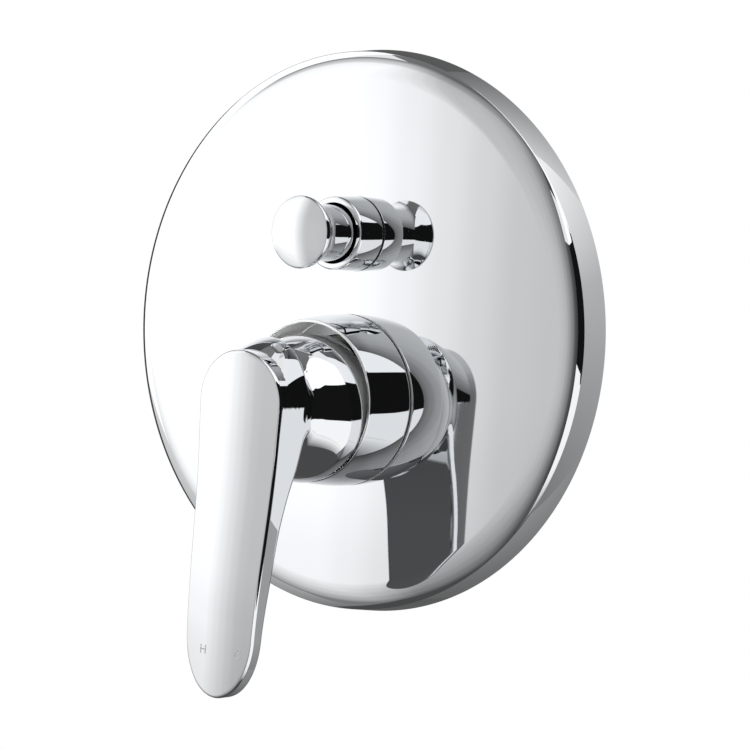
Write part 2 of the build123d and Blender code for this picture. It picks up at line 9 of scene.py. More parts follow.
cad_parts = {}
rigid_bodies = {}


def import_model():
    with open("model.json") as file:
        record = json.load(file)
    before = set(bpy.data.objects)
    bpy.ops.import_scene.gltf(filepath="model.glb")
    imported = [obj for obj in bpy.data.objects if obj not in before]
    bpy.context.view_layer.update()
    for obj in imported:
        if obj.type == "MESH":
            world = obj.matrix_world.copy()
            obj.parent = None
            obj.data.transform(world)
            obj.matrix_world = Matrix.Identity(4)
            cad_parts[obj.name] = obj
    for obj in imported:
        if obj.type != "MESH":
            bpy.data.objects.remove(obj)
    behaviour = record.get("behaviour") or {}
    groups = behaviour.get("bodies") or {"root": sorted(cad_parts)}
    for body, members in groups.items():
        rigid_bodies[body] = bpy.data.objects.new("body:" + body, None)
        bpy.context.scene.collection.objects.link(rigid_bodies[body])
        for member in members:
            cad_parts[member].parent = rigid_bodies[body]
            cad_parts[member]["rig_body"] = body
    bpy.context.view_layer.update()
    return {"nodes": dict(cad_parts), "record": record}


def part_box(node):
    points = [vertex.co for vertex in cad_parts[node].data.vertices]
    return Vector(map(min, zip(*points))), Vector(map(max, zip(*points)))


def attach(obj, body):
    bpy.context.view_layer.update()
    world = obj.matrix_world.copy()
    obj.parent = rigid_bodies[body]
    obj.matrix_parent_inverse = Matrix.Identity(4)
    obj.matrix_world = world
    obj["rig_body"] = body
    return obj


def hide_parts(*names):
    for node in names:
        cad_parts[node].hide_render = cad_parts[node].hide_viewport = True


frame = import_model()
mm = 0.001
tiny = 1e-9  # keeps a division from meeting nothing
print("frame loaded:", len(frame["nodes"]), "nodes")


# where the pieces sit, read from the frame, in millimetres
def boxMm(node):
    low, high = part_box(node)
    return np.array(low) / mm, np.array(high) / mm


plateLow, plateHigh = boxMm("escutcheon_plate")
collarLow, collarHigh = boxMm("lever_collar")
smallLow, smallHigh = boxMm("diverter_collar")
knobLow, knobHigh = boxMm("diverter_knob")
leverLow = boxMm("lever_handle")[0]
leverAxisZ = (collarLow[2] + collarHigh[2]) / 2
knobAxisZ = (knobLow[2] + knobHigh[2]) / 2
faceY = plateLow[1]


# quads between neighbouring rows and columns of a grid of points
def gridFaces(rows, columns, wrapRows=False, wrapColumns=False):
    row = np.arange(rows if wrapRows else rows - 1)[:, None]
    column = np.arange(columns if wrapColumns else columns - 1)[None, :]
    below = ((row + 1) % rows) * columns
    right = (column + 1) % columns
    here = row * columns
    quads = np.stack([here + column, here + right, below + right, below + column], -1)
    return quads.reshape(-1, 4)


# points in millimetres and the faces between them, as an object at the origin
def newPiece(name, points, faces):
    mesh = bpy.data.meshes.new(name)
    faces = faces if isinstance(faces, list) else faces.tolist()
    mesh.from_pydata((np.asarray(points).reshape(-1, 3) * mm).tolist(), [], faces)
    piece = bpy.data.objects.new(name, mesh)
    bpy.context.scene.collection.objects.link(piece)
    return piece


# merge the seams and poles, turn the faces outwards, smooth all but the sharp edges
def tidyMesh(piece, sharpAngle=32, merge=0.002):
    work = bmesh.new()
    work.from_mesh(piece.data)
    bmesh.ops.remove_doubles(work, verts=work.verts, dist=merge * mm)
    bmesh.ops.dissolve_degenerate(work, edges=work.edges, dist=merge * mm)
    bmesh.ops.recalc_face_normals(work, faces=work.faces)
    work.to_mesh(piece.data)
    work.free()
    piece.data.shade_smooth()
    piece.data.set_sharp_from_angle(angle=math.radians(sharpAngle))
    return piece


# profile points (r, y) turned about the Y axis at height z: x = r cos a, z = axis + r sin a
def turnedPiece(name, profile, axisZ, segments, closed=True):
    r, y = np.asarray(profile, float).T
    angle = np.linspace(0, 2 * np.pi, segments, endpoint=False)
    x = np.outer(np.cos(angle), r)
    z = axisZ + np.outer(np.sin(angle), r)
    points = np.stack([x, np.broadcast_to(y, x.shape), z], -1)
    return tidyMesh(newPiece(name, points, gridFaces(segments, len(r), True, closed)))


# arc that leaves start along a tangent and ends at end
def tangentArc(start, tangent, end, steps):
    start = np.array(start, float)
    along = np.array(tangent, float)
    reach = np.array(end, float) - start
    across = np.array([-along[1], along[0]])
    across = across if across @ reach > 0 else -across
    radius = reach @ reach / (2 * (across @ reach))
    sweep = 2 * math.asin(np.linalg.norm(reach) / (2 * radius))
    turn = np.linspace(0, sweep, steps)[:, None]
    return start + radius * (np.sin(turn) * along + (1 - np.cos(turn)) * across)


# closed profile with round corners: rows of (r, y, corner radius), each corner an arc tangent to both sides
def roundCorners(corners, steps=5):
    corners = np.asarray(corners, float)
    share = np.linspace(0, 1, steps)[:, None]
    runs = []
    for index, (r, y, radius) in enumerate(corners):
        here = np.array([r, y])
        if radius == 0:
            runs.append(here[None, :])
            continue
        back = corners[index - 1, :2] - here
        ahead = corners[(index + 1) % len(corners), :2] - here
        back /= np.linalg.norm(back)
        ahead /= np.linalg.norm(ahead)
        half = math.acos(np.clip(back @ ahead, -1, 1)) / 2
        middle = here + (back + ahead) / np.linalg.norm(back + ahead) * radius / math.sin(half)
        first = here + back * radius / math.tan(half) - middle
        last = here + ahead * radius / math.tan(half) - middle
        turn = math.pi - 2 * half
        arc = np.sin((1 - share) * turn) * first + np.sin(share * turn) * last
        runs.append(middle + arc / math.sin(turn))
    return np.concatenate(runs)


# profile points that get no round
def plain(points):
    return [(r, y, 0.0) for r, y in points]


# take the cutters out of a piece with exact booleans and keep the result as its mesh
def cutAway(piece, cutters):
    for cutter in cutters:
        cut = piece.modifiers.new("cut", "BOOLEAN")
        cut.operation = "DIFFERENCE"
        cut.solver = "EXACT"
        cut.object = cutter
    view = bpy.context.evaluated_depsgraph_get()
    mesh = bpy.data.meshes.new_from_object(piece.evaluated_get(view))
    mesh.name = piece.name
    piece.modifiers.clear()
    piece.data = mesh
    for cutter in cutters:
        bpy.data.objects.remove(cutter)
    return piece


# closed cylinder along Y
def rod(name, radius, start, end, axisZ, segments=96):
    return turnedPiece(name, [(0, start), (radius, start), (radius, end), (0, end)], axisZ, segments, False)


# wall plate: flat face, crowned shoulder, straight band, all from one sheet
plate = dict(edgeInset=1.0, crownDrop=2.7, crownWidth=8.0, sheet=1.0, edgeRound=0.5, rearRound=0.2,
             segments=288, crownSteps=28, leverHole=23.6, knobHole=10.4, holeOver=1.0, sharpAngle=28)


def makePlate(size):
    plateR = plateHigh[0]
    edgeR = plateR - size["edgeInset"]
    edgeY = faceY + size["crownDrop"]
    flatR = edgeR - size["crownWidth"]
    innerR = edgeR - size["sheet"]
    innerY = faceY + size["sheet"]
    crown = tangentArc((flatR, faceY), (1, 0), (edgeR, edgeY), size["crownSteps"])
    innerEdge = (innerR, edgeY + size["sheet"])
    innerCrown = tangentArc((flatR, innerY), (1, 0), innerEdge, size["crownSteps"])[::-1]
    corners = plain([(0, faceY)]) + plain(crown[:-1]) + [
        (edgeR, edgeY, size["edgeRound"]),
        (plateR, 0, size["rearRound"]),
        (plateR - size["sheet"], 0, size["rearRound"]),
    ] + plain(innerCrown) + plain([(0, innerY)])
    piece = turnedPiece("escutcheonPlate", roundCorners(corners), 0, size["segments"])
    frontY = faceY - size["holeOver"]
    leverHole = rod("leverHole", size["leverHole"], frontY, 0, leverAxisZ)
    knobHole = rod("knobHole", size["knobHole"], frontY, 0, knobAxisZ)
    return tidyMesh(cutAway(piece, [leverHole, knobHole]), size["sharpAngle"])


# bell collar round the ball hub: r runs in a line from foot to front, plus 4 bulge s (1 - s)
collar = dict(frontR=24.2, wall=0.95, bulge=0.45, lip=0.3, base=1.5, footGap=0.5, flangeR=19.7,
              flangeDepth=2.5, tailR=23.4, tailInnerR=22.1, footRound=0.5, insideRound=0.4,
              steps=24, segments=256)


def makeCollar(size):
    footR = collarHigh[0]
    footY = faceY - size["footGap"]
    frontY = collarLow[1]
    tailY = collarHigh[1]
    insideY = footY - size["base"]
    share = np.linspace(0, 1, size["steps"])[1:-1]
    bulge = 4 * size["bulge"] * share * (1 - share)
    bellR = footR + (size["frontR"] - footR) * share + bulge
    bell = np.stack([bellR, footY + (frontY - footY) * share], -1)
    innerR = size["frontR"] - size["wall"]
    barrelY = footY + size["flangeDepth"]
    corners = [(footR, footY, size["footRound"])] + plain(bell) + [
        (size["frontR"], frontY, size["lip"]),
        (innerR, frontY, size["lip"]),
        (footR - size["wall"] - size["lip"], insideY, size["insideRound"]),
    ] + plain([(size["flangeR"], insideY), (size["flangeR"], barrelY), (size["tailInnerR"], barrelY),
               (size["tailInnerR"], tailY), (size["tailR"], tailY), (size["tailR"], footY)])
    return turnedPiece("leverCollar", roundCorners(corners), leverAxisZ, size["segments"])


# small collar the knob slides in
smallCollar = dict(frontR=10.97, lip=0.8, footGap=0.5, bore=9.1, tailR=10.2, footRound=0.15, boreRound=0.15,
                   roundSteps=7, segments=192)


def makeSmallCollar(size):
    footR = smallHigh[0]
    footY = faceY - size["footGap"]
    frontY = smallLow[1]
    tailY = smallHigh[1]
    corners = [
        (footR, footY, size["footRound"]),
        (size["frontR"], frontY, size["lip"]),
        (size["bore"], frontY, size["boreRound"]),
    ] + plain([(size["bore"], tailY), (size["tailR"], tailY), (size["tailR"], footY)])
    profile = roundCorners(corners, size["roundSteps"])
    return turnedPiece("diverterCollar", profile, knobAxisZ, size["segments"])


# pull knob: crowned head, flare, straight stem with the threaded hole for the rod
knob = dict(crown=2.0, edge=1.0, edgeRound=0.8, rearRound=0.22, tailRound=0.4, stemR=8.5, flareLength=6.0,
            holeR=2.6, holeDepth=10.2, steps=24, segments=192)


def makeKnob(size):
    headR = knobHigh[0]
    crownY = knobLow[1]
    tailY = knobHigh[1]
    headY = crownY + size["crown"]
    flareY = headY + size["edge"] + size["flareLength"]
    crownR = (headR**2 + size["crown"]**2) / (2 * size["crown"])
    # the crown stops two steps short, where the edge's round begins
    turn = np.linspace(0, math.asin(headR / crownR), size["steps"])[:-2]
    crown = np.stack([crownR * np.sin(turn), crownY + crownR * (1 - np.cos(turn))], -1)
    flare = tangentArc((size["stemR"], flareY), (0, -1), (headR, headY + size["edge"]), size["steps"])[::-1]
    corners = plain(crown) + [
        (headR, headY, size["edgeRound"]),
        (headR, headY + size["edge"], size["rearRound"]),
    ] + plain(flare[1:]) + [(size["stemR"], tailY, size["tailRound"])] + plain([
        (size["holeR"], tailY),
        (size["holeR"], tailY - size["holeDepth"]),
        (0, tailY - size["holeDepth"]),
    ])
    return turnedPiece("diverterKnob", roundCorners(corners), knobAxisZ, size["segments"], False)


# lever: ball hub, neck and paddle in one casting
lever = dict(hubR=22.25, hubY=-30.0, hubDrop=2.3, skirtTaper=0.65, skirtLength=9.3, rimBottomY=-33.1,
             rimTopY=-25.2, topR=15.35, endHalf=12.6, endLength=18.7, edgeY=-61.1, sweep=2.5,
             sweepStart=14.2, sweepLength=53.0, crownR=90.0, edgeRound=1.0, backRound=1.6,
             creaseLeast=0.2, creaseRound=3.2, creaseFrom=4.0, creaseTo=16.0, neckStartY=-57.0,
             neckLength=15.0, neckInset=0.3, neckSink=0.03, wall=2.25, fanY=-47.0, fanZ=-50.0,
             steepest=1.5, socketTilt=10.0, pivotY=-26.0)  # steepest in radians, the tilt in degrees
backDrops = [6.05, 18.05, 26.05, 34.05, 50.9, 67.75, 90.0]  # below the lever axis
backDepths = [13.7, 11.2, 8.8, 7.2, 6.1, 5.0, 5.0]  # paddle thickness there
hubZ = leverAxisZ - lever["hubDrop"]
tipZ = leverLow[2]
endZ = tipZ + lever["endLength"]
tipDrop = leverAxisZ - tipZ


# 0 to 1 between low and high, level at both ends
def smoothStep(value, low, high):
    share = np.clip((value - low) / (high - low), 0, 1)
    return share * share * (3 - 2 * share)


# cubic through the stations with slopes from their neighbours
def stationCurve(x, stations, values):
    stations = np.asarray(stations, float)
    values = np.asarray(values, float)
    slopes = np.gradient(values, stations)
    slot = np.clip(np.searchsorted(stations, x) - 1, 0, len(stations) - 2)
    span = stations[slot + 1] - stations[slot]
    t = np.clip((x - stations[slot]) / span, 0, 1)
    first = (1 + 2 * t) * (1 - t) ** 2 * values[slot] + t * (1 - t) ** 2 * span * slopes[slot]
    return first + t * t * (3 - 2 * t) * values[slot + 1] + t * t * (t - 1) * span * slopes[slot + 1]


# half width of the paddle seen from the front: round top, straight tapered sides, elliptical end
def paddleHalf(z):
    up = np.clip(z - leverAxisZ, 0, lever["topR"])
    top = np.sqrt(lever["topR"]**2 - up**2)
    share = np.clip((leverAxisZ - z) / (leverAxisZ - endZ), 0, 1)
    side = lever["topR"] + (lever["endHalf"] - lever["topR"]) * share
    down = np.clip((endZ - z) / lever["endLength"], 0, 1)
    return np.where(z > leverAxisZ, top, np.where(z > endZ, side, lever["endHalf"] * np.sqrt(1 - down**2)))


# y of the paddle's crowned face
def faceOf(x, z):
    drop = leverAxisZ - z
    out = lever["sweep"] * smoothStep(drop, lever["sweepStart"], lever["sweepStart"] + lever["sweepLength"])
    half = lever["topR"] + (lever["endHalf"] - lever["topR"]) * np.clip(drop / tipDrop, 0, 1)
    return lever["edgeY"] - out - (half**2 - x**2) / (2 * lever["crownR"])


# y of the paddle's back
def backOf(z):
    drop = leverAxisZ - z
    out = lever["sweep"] * smoothStep(drop, lever["sweepStart"], lever["sweepStart"] + lever["sweepLength"])
    return lever["edgeY"] - out + stationCurve(drop, backDrops, backDepths)


# polynomial blends of two distances: the lower one with a fillet, the higher one with a round
def filletOf(a, b, radius):
    share = np.clip(0.5 + 0.5 * (b - a) / radius, 0, 1)
    return b + (a - b) * share - radius * share * (1 - share)


def roundOf(a, b, radius):
    return -filletOf(-a, -b, radius)


# signed distance to the lever's outer form, negative inside: ball and skirt, filleted to neck and paddle
def leverForm(x, y, z):
    radius = np.sqrt(x**2 + (z - hubZ)**2)
    ball = np.sqrt(radius**2 + (y - lever["hubY"])**2) - lever["hubR"]
    skirt = radius - lever["hubR"] + lever["skirtTaper"] * (y - lever["hubY"]) / lever["skirtLength"]
    hub = np.where(y < lever["hubY"], ball, skirt)
    flatY = lever["neckStartY"] + lever["neckLength"]
    rise = np.clip((flatY - y) / lever["neckLength"], 0, 1)
    hubTop = hubZ + lever["hubR"] - lever["neckSink"]
    archTop = hubTop - leverAxisZ - (hubTop - leverAxisZ - lever["topR"]) * rise**2
    archHalf = lever["topR"] - lever["neckInset"] * (1 - rise)
    over = np.maximum(z - leverAxisZ, 0)
    ring = np.sqrt((x / archHalf)**2 + (over / archTop)**2) + tiny
    slope = np.sqrt((x / archHalf**2)**2 + (over / archTop**2)**2) / ring
    arch = (ring - 1) / np.maximum(slope, tiny)
    side = np.where(z > leverAxisZ, arch, np.abs(x) - paddleHalf(z))
    body = roundOf(side, y - backOf(z), lever["backRound"])
    below = smoothStep(-z, lever["creaseFrom"], lever["creaseTo"])
    return filletOf(hub, body, lever["creaseLeast"] + lever["creaseRound"] * below)


# first place where rays from the centres leave the form: coarse steps, then halving
def rayLength(centre, direction, shortest=0.05, longest=75.0, steps=150, halvings=32):
    reach = np.linspace(shortest, longest, steps)
    points = centre[..., None, :] + direction[..., None, :] * reach[:, None]
    outside = leverForm(points[..., 0], points[..., 1], points[..., 2]) > 0
    first = np.argmax(outside, -1)
    high = reach[first]
    low = reach[np.maximum(first - 1, 0)]
    for _ in range(halvings):
        middle = (low + high) / 2
        point = centre + direction * middle[..., None]
        out = leverForm(point[..., 0], point[..., 1], point[..., 2]) > 0
        high = np.where(out, middle, high)
        low = np.where(out, low, middle)
    return (low + high) / 2


# stations down the paddle's outline: half width, z, and the outline's outward normal there
# tipGap, in radians, leaves the last step to the tip itself
def outlineStations(top=36, upper=34, lower=40, end=40, tipGap=0.012):
    turn = np.linspace(math.pi / 2, 0, top, endpoint=False)
    zTop = leverAxisZ + lever["topR"] * np.sin(turn)
    zUpper = np.linspace(leverAxisZ, lever["fanZ"], upper, endpoint=False)
    zLower = np.linspace(lever["fanZ"], endZ, lower, endpoint=False)
    close = np.linspace(0, math.pi / 2 - tipGap, end)
    z = np.concatenate([zTop, zUpper, zLower, endZ - lever["endLength"] * np.sin(close)])
    half = paddleHalf(z)
    normalX = np.concatenate([np.cos(turn), np.ones(upper + lower),
                              np.cos(close) / lever["endHalf"]])
    normalZ = np.concatenate([np.sin(turn), np.zeros(upper + lower),
                              -np.sin(close) / lever["endLength"]])
    length = np.hypot(normalX, normalZ)
    return half, z, normalX / length, normalZ / length


# the lever's skin: sections on planes that fan from the hub's rim down into the paddle, plus face and edge
def makeLever(size, hubRows=72, columns=190, dense=720, edgeSteps=6, faceColumns=41):
    half, z, normalX, normalZ = outlineStations()
    edgeY = faceOf(half, z)
    wallY = edgeY + size["edgeRound"]
    fan = np.array([size["fanY"], size["fanZ"]])
    # hub sections: plane foot moves forward from the rim while the plane leans over
    rimLean = math.atan2(size["rimBottomY"] - size["rimTopY"], 2 * size["hubR"])
    rimFootY = size["rimBottomY"] + (size["fanZ"] - hubZ + size["hubR"]) * math.tan(-rimLean)
    topLean = math.atan2(fan[0] - wallY[0], z[0] - fan[1])
    share = np.linspace(0, 1, hubRows, endpoint=False)
    lean = rimLean + (topLean - rimLean) * share
    footY = rimFootY + (fan[0] - rimFootY) * share
    centreZ = np.full(hubRows, hubZ)
    centreY = footY - (centreZ - fan[1]) * np.tan(lean)
    # paddle sections: planes through the outline stations, level once they are below the fan's foot
    level = z <= fan[1]
    leanDown = np.where(level, math.pi / 2, np.arctan2(fan[0] - wallY, np.maximum(z - fan[1], tiny)))
    middleY = np.where(level, (wallY + backOf(z)) / 2, size["neckStartY"])
    slant = np.tan(np.minimum(leanDown, size["steepest"]))
    middleZ = np.where(level, z, fan[1] + (fan[0] - middleY) / slant)
    leans = np.concatenate([lean, leanDown])
    centres = np.stack([np.zeros(len(leans)), np.concatenate([centreY, middleY]),
                        np.concatenate([centreZ, middleZ])], -1)
    up = np.stack([np.zeros(len(leans)), -np.sin(leans), np.cos(leans)], -1)
    starts = np.stack([half, wallY, z], -1) - centres[hubRows:]
    startTurn = np.arctan2(starts[:, 0], np.sum(starts * up[hubRows:], -1))
    startTurn = np.concatenate([np.zeros(hubRows), startTurn])
    turn = startTurn[:, None] + (2 * np.pi - 2 * startTurn[:, None]) * np.linspace(0, 1, dense)
    direction = np.sin(turn)[..., None] * np.array([1.0, 0, 0]) + np.cos(turn)[..., None] * up[:, None, :]
    origin = np.broadcast_to(centres[:, None, :], direction.shape)
    reach = np.array([rayLength(o, d) for o, d in zip(origin, direction)])
    skin = origin + direction * reach[..., None]
    skin[hubRows:, 0] = np.stack([half, wallY, z], -1)
    skin[hubRows:, -1] = np.stack([-half, wallY, z], -1)
    # even spacing along each section
    step = np.linalg.norm(np.diff(skin, axis=1), axis=-1)
    along = np.concatenate([np.zeros((len(skin), 1)), np.cumsum(step, 1)], 1)
    rows = [np.stack([np.interp(np.linspace(0, a[-1], columns), a, s[:, k]) for k in range(3)], -1)
            for a, s in zip(along, skin)]
    skin = np.array(rows)
    tip = skin[-1:].copy()
    tip[..., 0] = 0
    tip[..., 2] = tipZ
    skin = np.concatenate([skin, tip])
    # rim cap, so that the skin closes
    rim = skin[0].mean(0)
    skin = np.concatenate([np.broadcast_to(rim, (1, columns, 3)), skin])
    # rounded front edge and the crowned face inside it
    half = np.append(half, 0)
    z = np.append(z, tipZ)
    normalX = np.append(normalX, 0)
    normalZ = np.append(normalZ, -1)
    wallY = np.append(wallY, faceOf(0.0, tipZ) + size["edgeRound"])
    inX = np.maximum(half - size["edgeRound"] * normalX, 0)
    inZ = z - size["edgeRound"] * normalZ
    depth = wallY - faceOf(inX, inZ)
    bend = np.linspace(0, np.pi / 2, edgeSteps)
    edge = np.stack([inX[:, None] + (half - inX)[:, None] * np.sin(bend),
                     wallY[:, None] - depth[:, None] * np.cos(bend),
                     inZ[:, None] + (z - inZ)[:, None] * np.sin(bend)], -1)
    mirror = edge * np.array([-1.0, 1, 1])
    across = inX[:, None] * np.linspace(-1, 1, faceColumns)
    height = np.broadcast_to(inZ[:, None], across.shape)
    face = np.stack([across, faceOf(across, height), height], -1)
    patches = [skin, edge, mirror, face]
    points = np.concatenate([p.reshape(-1, 3) for p in patches])
    offset = np.cumsum([0] + [p.shape[0] * p.shape[1] for p in patches[:-1]])
    faces = np.concatenate([gridFaces(p.shape[0], p.shape[1]) + o for p, o in zip(patches, offset)])
    return tidyMesh(newPiece("leverHandle", points, faces), sharpAngle=30, merge=0.004)


# lean a piece of the socket with the spindle, about the lift's pivot
def tilted(piece):
    turn = Matrix.Rotation(math.radians(lever["socketTilt"]), 4, "X")
    pivot = Matrix.Translation(Vector((0, lever["pivotY"] * mm, leverAxisZ * mm)))
    piece.data.transform(pivot @ turn @ pivot.inverted())
    return piece


# hub hollow, the boss with its square socket, and the bore for the grub screw and its cap
socket = dict(bossR=7.5, bossRear=10.0, half=4.05, reach=24.2, grubOut=17.0, grubR=2.55, capR=3.05,
              capGap=0.05, capRecess=0.5, capThickness=2.0, capEdge=0.25, skirtOver=2.0,
              segments=64, hollowSteps=24, hollowSegments=128)


# distance from the socket's axis down the grub screw's bore to the ball's surface
def ballSurface(size):
    lean = math.radians(lever["socketTilt"])
    out = lever["hubY"] - lever["pivotY"]
    forward = -out * math.cos(lean) + lever["hubDrop"] * math.sin(lean)
    down = out * math.sin(lean) + lever["hubDrop"] * math.cos(lean)
    return down + math.sqrt(lever["hubR"]**2 - (size["grubOut"] - forward)**2)


# round plug below the grub screw: profile (r, depth) turned about the bore
def makeCap(size):
    r = size["capR"] - size["capGap"]
    edge = size["capEdge"]
    outer = ballSurface(size) - size["capRecess"]
    inner = outer - size["capThickness"]
    profile = np.array([(0, inner), (r, inner), (r, outer - edge), (r - edge, outer), (0, outer)])
    angle = np.linspace(0, 2 * np.pi, size["segments"], endpoint=False)[:, None]
    x = profile[:, 0] * np.cos(angle)
    y = lever["pivotY"] - size["grubOut"] + profile[:, 0] * np.sin(angle)
    z = np.broadcast_to(leverAxisZ - profile[:, 1], x.shape)
    faces = gridFaces(size["segments"], len(profile), True)
    return tilted(tidyMesh(newPiece("screwCap", np.stack([x, y, z], -1), faces)))


# take the hollow, the socket and the bore out of the casting, with the boss left standing
def hollowLever(piece, size):
    innerR = lever["hubR"] - lever["wall"]
    turn = np.linspace(0, math.pi / 2, size["hollowSteps"])
    ball = np.stack([innerR * np.sin(turn), lever["hubY"] - innerR * np.cos(turn)], -1)
    skirtY = lever["rimTopY"] + size["skirtOver"]
    profile = np.concatenate([ball, [(innerR - lever["skirtTaper"], skirtY), (0, skirtY)]])
    hollow = turnedPiece("hollow", profile, hubZ, size["hollowSegments"], False)
    frontY = lever["hubY"] - lever["hubR"]
    boss = tilted(rod("boss", size["bossR"], frontY, lever["pivotY"] - size["bossRear"], leverAxisZ))
    cutAway(hollow, [boss])
    half = size["half"]
    corners = np.array([(x, y, z) for y in (lever["pivotY"] - size["reach"], lever["pivotY"])
                        for x, z in ((-half, -half), (half, -half), (half, half), (-half, half))])
    corners[:, 2] += leverAxisZ
    sides = [(0, 1, 2, 3), (7, 6, 5, 4), (0, 4, 5, 1), (1, 5, 6, 2), (2, 6, 7, 3), (3, 7, 4, 0)]
    square = tilted(tidyMesh(newPiece("square", corners, sides)))
    capStart = ballSurface(size) - size["capRecess"] - size["capThickness"]
    bores = [(size["grubR"], 0.0), (size["capR"], capStart)]
    count = size["segments"]
    angle = np.linspace(0, 2 * np.pi, count, endpoint=False)
    walls = gridFaces(2, count, False, True).tolist() + [list(range(count)), list(range(count, 2 * count))]
    cutters = [hollow, square]
    for index, (radius, start) in enumerate(bores):
        x = radius * np.cos(angle)
        y = lever["pivotY"] - size["grubOut"] + radius * np.sin(angle)
        depths = (start, 2 * lever["hubR"])
        ends = [np.column_stack([x, y, np.full(count, leverAxisZ - depth)]) for depth in depths]
        cutters.append(tilted(tidyMesh(newPiece(f"bore{index}", np.concatenate(ends), walls))))
    return tidyMesh(cutAway(piece, cutters), sharpAngle=30, merge=0.001)


# mirror smooth shading: corners on the skin take the slope of the form, by central differences
def smoothSkin(piece, step=0.02, near=0.02, agree=0.9, edgeShare=1.3):
    mesh = piece.data
    spots = np.zeros(len(mesh.vertices) * 3)
    mesh.vertices.foreach_get("co", spots)
    spots = spots.reshape(-1, 3) / mm
    shifts = step * np.eye(3)
    slope = np.stack([leverForm(*(spots + s).T) - leverForm(*(spots - s).T) for s in shifts], -1)
    slope /= np.linalg.norm(slope, axis=1)[:, None] + tiny
    behindEdge = spots[:, 1] > faceOf(spots[:, 0], spots[:, 2]) + edgeShare * lever["edgeRound"]
    onSkin = (np.abs(leverForm(*spots.T)) < near) & behindEdge
    corner = np.zeros(len(mesh.loops), np.int32)
    mesh.loops.foreach_get("vertex_index", corner)
    sides = np.zeros(len(mesh.polygons), np.int32)
    mesh.polygons.foreach_get("loop_total", sides)
    flat = np.zeros(len(mesh.polygons) * 3)
    mesh.polygons.foreach_get("normal", flat)
    flat = np.repeat(flat.reshape(-1, 3), sides, 0)
    use = onSkin[corner] & (np.sum(flat * slope[corner], 1) > agree)
    mesh.normals_split_custom_set(np.where(use[:, None], slope[corner], 0.0).tolist())
    return piece


# sRGB hex to linear
def hexColour(code):
    channels = [int(code[k:k + 2], 16) / 255 for k in (1, 3, 5)]
    return [c / 12.92 if c <= 0.04045 else ((c + 0.055) / 1.055) ** 2.4 for c in channels] + [1.0]


# add a node: settings as attributes, inputs as values or as the sockets that feed them
def addNode(tree, kind, inputs=None, **settings):
    node = tree.nodes.new(kind)
    for name, value in settings.items():
        setattr(node, name, value)
    for name, value in (inputs or {}).items():
        if isinstance(value, bpy.types.NodeSocket):
            tree.links.new(value, node.inputs[name])
        else:
            node.inputs[name].default_value = value
    return node


# empty material with its shader, and where the noise reads its place on the piece
def newMaterial(name):
    material = bpy.data.materials.new(name)
    material.use_nodes = True
    tree = material.node_tree
    tree.nodes.clear()
    shader = addNode(tree, "ShaderNodeBsdfPrincipled")
    addNode(tree, "ShaderNodeOutputMaterial", {"Surface": shader.outputs[0]})
    place = addNode(tree, "ShaderNodeTexCoord").outputs["Object"]
    return material, tree, shader, place


# noise whose cells are about size millimetres across
def noiseScale(size):
    return 1 / (size * mm)


# chrome plate, buffed or left satin: one colour, and a haze that drifts between two roughnesses in cells
def platedFinish(name, colour, rough, cell, detail, metallic):
    material, tree, shader, place = newMaterial(name)
    drift = addNode(tree, "ShaderNodeTexNoise",
                    {"Vector": place, "Scale": noiseScale(cell), "Detail": detail})
    spread = addNode(tree, "ShaderNodeMapRange",
                     {"Value": drift.outputs[0], "To Min": rough[0], "To Max": rough[1]})
    shader.inputs["Base Color"].default_value = hexColour(colour)
    shader.inputs["Metallic"].default_value = metallic
    tree.links.new(spread.outputs[0], shader.inputs["Roughness"])
    return material


# brass, sand cast or turned: a hue that drifts in patches, with a grain in its gloss and its skin
def brassFinish(name, dark, light, rough, grit, height, patchSize=14.0, strength=0.5, drift=(0.8, 1.25)):
    material, tree, shader, place = newMaterial(name)
    grain = addNode(tree, "ShaderNodeTexNoise", {"Vector": place, "Scale": noiseScale(grit), "Detail": 6.0})
    patch = addNode(tree, "ShaderNodeTexNoise",
                    {"Vector": place, "Scale": noiseScale(patchSize), "Detail": 3.0})
    tint = addNode(tree, "ShaderNodeMix",
                   {"Factor": patch.outputs[0], "A": hexColour(dark), "B": hexColour(light)},
                   data_type="RGBA")
    bump = addNode(tree, "ShaderNodeBump",
                   {"Height": grain.outputs[0], "Strength": strength, "Distance": height * mm})
    spread = addNode(tree, "ShaderNodeMapRange",
                     {"Value": grain.outputs[0], "To Min": rough * drift[0], "To Max": rough * drift[1]})
    shader.inputs["Metallic"].default_value = 1.0
    tree.links.new(tint.outputs["Result"], shader.inputs["Base Color"])
    tree.links.new(spread.outputs[0], shader.inputs["Roughness"])
    tree.links.new(bump.outputs[0], shader.inputs["Normal"])
    return material


# even stuff, moulded, drawn or lapped: one hue with faint clouding and a fine skin
def mouldedFinish(name, colour, rough, grit, height, metallic=0.0, cloudy=(0.9, 1.1), strength=0.4):
    material, tree, shader, place = newMaterial(name)
    skin = addNode(tree, "ShaderNodeTexNoise", {"Vector": place, "Scale": noiseScale(grit), "Detail": 4.0})
    cloud = addNode(tree, "ShaderNodeMapRange",
                    {"Value": skin.outputs[0], "To Min": cloudy[0], "To Max": cloudy[1]})
    tint = addNode(tree, "ShaderNodeHueSaturation", {"Color": hexColour(colour), "Value": cloud.outputs[0]})
    bump = addNode(tree, "ShaderNodeBump",
                   {"Height": skin.outputs[0], "Strength": strength, "Distance": height * mm})
    shader.inputs["Metallic"].default_value = metallic
    shader.inputs["Roughness"].default_value = rough
    tree.links.new(tint.outputs[0], shader.inputs["Base Color"])
    tree.links.new(bump.outputs[0], shader.inputs["Normal"])
    return material


